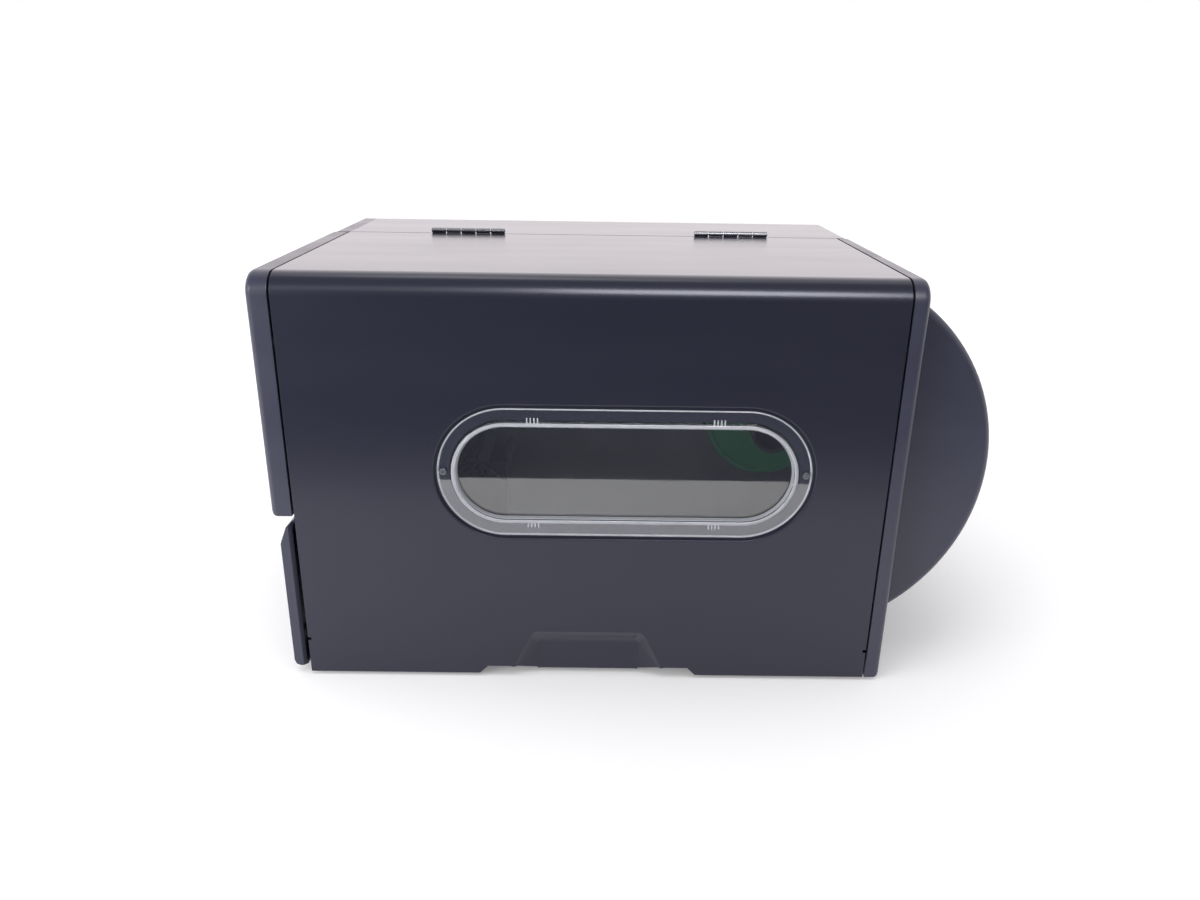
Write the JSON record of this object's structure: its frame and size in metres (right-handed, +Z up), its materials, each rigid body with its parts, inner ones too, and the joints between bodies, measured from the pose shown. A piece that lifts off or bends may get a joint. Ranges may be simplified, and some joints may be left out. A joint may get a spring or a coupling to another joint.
{
  "type": "barcode label printer",
  "caption": "Table-top thermal transfer label printer with a swing-up sheet-metal door, stadium window and half-round roll hood, over a print mechanism, ribbon spindles and rear sockets.",
  "frame": {"origin": "on the table under the middle of the printer's bounding box, door closed", "axes": "+X from the label exit to the rear hood, +Y from the door to the electronics side, +Z up"},
  "size_m": [0.5465, 0.3364, 0.3269],
  "materials": {
    "satin_black_paint": "satin",
    "dark_grey_plastic": "fine grain",
    "black_plastic": "fine grain",
    "clear_plastic": "polished",
    "display_glass": "polished",
    "light_pipe": "polished",
    "grey_key": "fine grain",
    "green_plastic": "satin",
    "zinc_steel": "zinc plated",
    "ground_steel": "ground",
    "dark_painted_steel": "satin",
    "cast_aluminium": "plain",
    "brass": "machined",
    "nylon": "natural",
    "sintered_bronze": "sintered",
    "rubber": "matt",
    "circuit_board": "solder resist"
  },
  "bodies": {
    "chassis": {"base_pan": "dark_painted_steel", "rubber_feet": "rubber", "centre_plate": "cast_aluminium", "electronics_cover": "satin_black_paint", "cover_screws": "zinc_steel", "rear_panel": "satin_black_paint", "control_panel": "dark_grey_plastic", "display_window": "display_glass", "status_lights": "light_pipe", "lower_front_panel": "dark_grey_plastic", "hinge_fixed_leaves": "dark_painted_steel", "hinge_pins": "ground_steel", "tear_bar": "ground_steel", "side_plate": "dark_painted_steel", "tie_rods": "ground_steel", "media_deck": "zinc_steel", "platen_bearings": "sintered_bronze", "spindle_bearings": "sintered_bronze", "guide_rail": "ground_steel", "head_pivot_shaft": "ground_steel", "roll_spindle": "black_plastic", "motor_bracket": "zinc_steel", "drive_motor": "black_plastic", "ribbon_motor": "ground_steel", "main_board": "circuit_board", "power_supply": "zinc_steel", "power_inlet": "black_plastic", "switch_body": "black_plastic", "usb_socket": "zinc_steel", "network_socket": "zinc_steel", "serial_port": "zinc_steel"},
    "door": {"door_panel": "satin_black_paint", "window_lens": "clear_plastic", "window_screws": "zinc_steel", "door_front_cap": "dark_grey_plastic", "door_rear_cap": "dark_grey_plastic", "roll_hood": "dark_grey_plastic", "hinge_door_leaves": "dark_painted_steel"},
    "print_head": {"head_carrier": "zinc_steel", "thermal_head": "cast_aluminium", "ribbon_rods": "ground_steel"},
    "lever": {"head_lever": "green_plastic"},
    "platen": {"platen_shaft": "ground_steel", "platen_rubber": "rubber", "platen_gear": "nylon"},
    "platen_drive": {"drive_pinion": "brass"},
    "takeup": {"takeup_spindle": "black_plastic", "takeup_gear": "nylon"},
    "ribbon_drive": {"ribbon_pinion": "brass"},
    "supply": {"supply_spindle": "black_plastic", "supply_brake": "brass"},
    "roll_guide": {"roll_retainer": "green_plastic"},
    "edge_guide": {"media_guide": "black_plastic"},
    "upper_near_key": {"key_1": "grey_key"},
    "upper_far_key": {"key_2": "grey_key"},
    "lower_near_key": {"key_3": "grey_key"},
    "lower_far_key": {"key_4": "grey_key"},
    "mains_rocker": {"power_rocker": "black_plastic"}
  },
  "joints": [
    {"name": "door_hinge", "type": "hinge", "parent": "chassis", "child": "door", "pos_m": [-0.03375, 0.05605, 0.3247], "axis": [-1, 0, 0], "range_deg": [0, 125]},
    {"name": "lever_turn", "type": "hinge", "parent": "chassis", "child": "lever", "pos_m": [-0.19875, -0.01875, 0.19], "axis": [0, -1, 0], "range_deg": [0, 75]},
    {"name": "head_pivot", "type": "hinge", "parent": "chassis", "child": "print_head", "pos_m": [-0.13775, -0.01875, 0.172], "axis": [0, 1, 0], "range_deg": [0, 8]},
    {"name": "platen_turn", "type": "hinge", "parent": "chassis", "child": "platen", "pos_m": [-0.22975, -0.01875, 0.1275], "axis": [0, 1, 0], "continuous": true},
    {"name": "platen_drive_turn", "type": "hinge", "parent": "chassis", "child": "platen_drive", "pos_m": [-0.20675, 0.06225, 0.11017], "axis": [0, 1, 0], "continuous": true},
    {"name": "takeup_turn", "type": "hinge", "parent": "chassis", "child": "takeup", "pos_m": [-0.19375, -0.01875, 0.262], "axis": [0, 1, 0], "continuous": true},
    {"name": "ribbon_drive_turn", "type": "hinge", "parent": "chassis", "child": "ribbon_drive", "pos_m": [-0.17208, 0.06225, 0.23325], "axis": [0, 1, 0], "continuous": true},
    {"name": "supply_turn", "type": "hinge", "parent": "chassis", "child": "supply", "pos_m": [-0.07875, -0.01875, 0.235], "axis": [0, 1, 0], "continuous": true},
    {"name": "roll_guide_slide", "type": "slide", "parent": "chassis", "child": "roll_guide", "axis": [0, 1, 0], "range_m": [-0.026, 0.06]},
    {"name": "edge_guide_slide", "type": "slide", "parent": "chassis", "child": "edge_guide", "axis": [0, 1, 0], "range_m": [0, 0.09]},
    {"name": "upper_near_press", "type": "slide", "parent": "chassis", "child": "upper_near_key", "axis": [1, 0, 0], "range_m": [0, 0.001], "stiffness_N_per_m": 1500},
    {"name": "upper_far_press", "type": "slide", "parent": "chassis", "child": "upper_far_key", "axis": [1, 0, 0], "range_m": [0, 0.001], "stiffness_N_per_m": 1500},
    {"name": "lower_near_press", "type": "slide", "parent": "chassis", "child": "lower_near_key", "axis": [1, 0, 0], "range_m": [0, 0.001], "stiffness_N_per_m": 1500},
    {"name": "lower_far_press", "type": "slide", "parent": "chassis", "child": "lower_far_key", "axis": [1, 0, 0], "range_m": [0, 0.001], "stiffness_N_per_m": 1500},
    {"name": "rocker_tilt", "type": "hinge", "parent": "chassis", "child": "mains_rocker", "pos_m": [0.19075, 0.13425, 0.092], "axis": [0, 0, 1], "range_deg": [0, 16]}
  ],
  "couplings": [
    {"joint": "head_pivot", "follows": "lever_turn", "ratio": 0.10667},
    {"joint": "platen_drive_turn", "follows": "platen_turn", "ratio": -3},
    {"joint": "ribbon_drive_turn", "follows": "takeup_turn", "ratio": -4}
  ]
}
